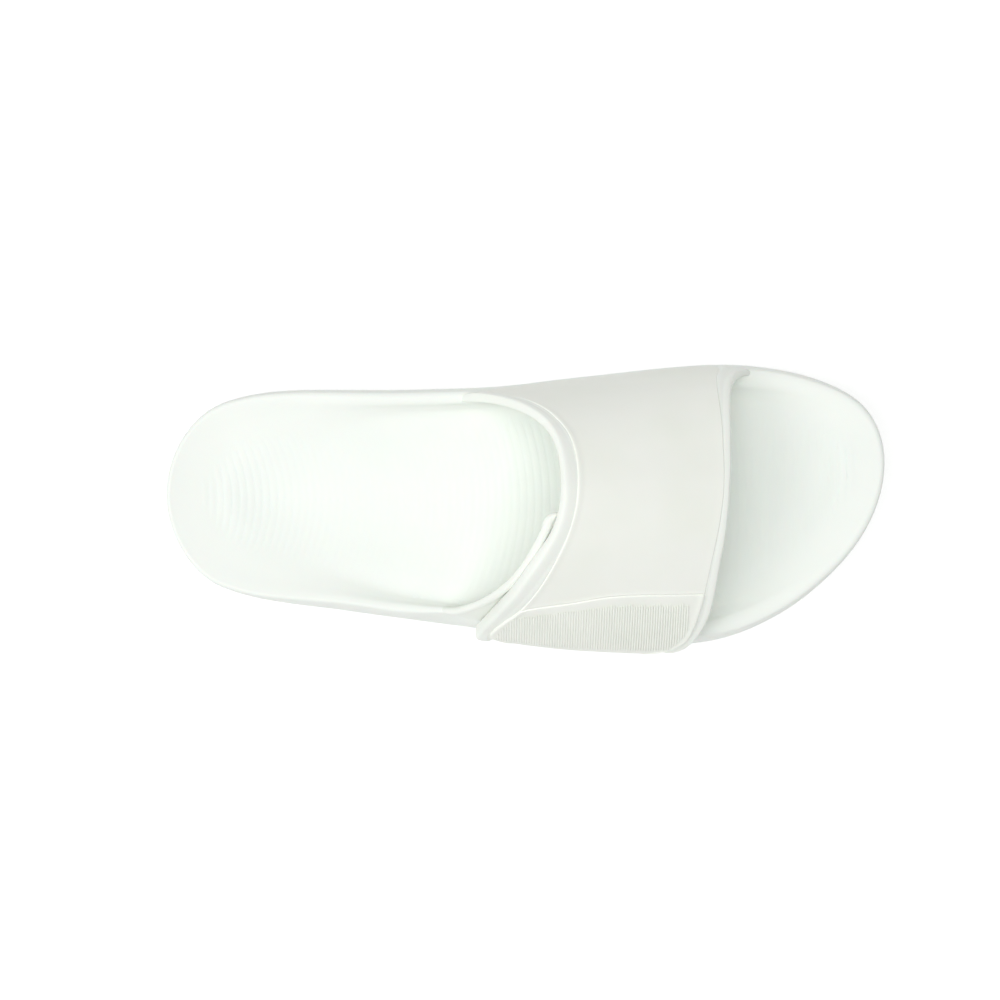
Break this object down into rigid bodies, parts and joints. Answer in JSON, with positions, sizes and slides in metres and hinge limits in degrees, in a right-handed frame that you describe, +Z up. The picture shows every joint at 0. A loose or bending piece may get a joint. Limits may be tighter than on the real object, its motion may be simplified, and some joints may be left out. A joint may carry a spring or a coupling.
{
  "type": "sport slide sandal",
  "caption": "Moulded foam slide sandal with a contoured footbed, a main strap that laps over a side wing, a raised strap cover and a ribbed grip tab. Right shoe.",
  "frame": {"origin": "middle of the whole shoe's box, on the ground", "axes": "+X to the toe, +Y to the big toe side, +Z up; right shoe"},
  "size_m": [0.28, 0.113, 0.0902],
  "materials": {
    "foam": "closed-cell moulded foam, soft matte skin with a faint sheen",
    "strap_foam": "moulded foam, smooth matte",
    "cover": "soft synthetic skin, matte, slightly warm white",
    "grip": "moulded rubbery panel with fine ribs",
    "fastener": "hook and loop tape"
  },
  "bodies": {
    "root": {"sole": "foam", "strap": "strap_foam", "strap_cover": "cover", "grip_panel": "grip", "side_wing": "strap_foam", "loop_patch": "fastener", "hook_patch": "fastener"}
  },
  "joints": []
}
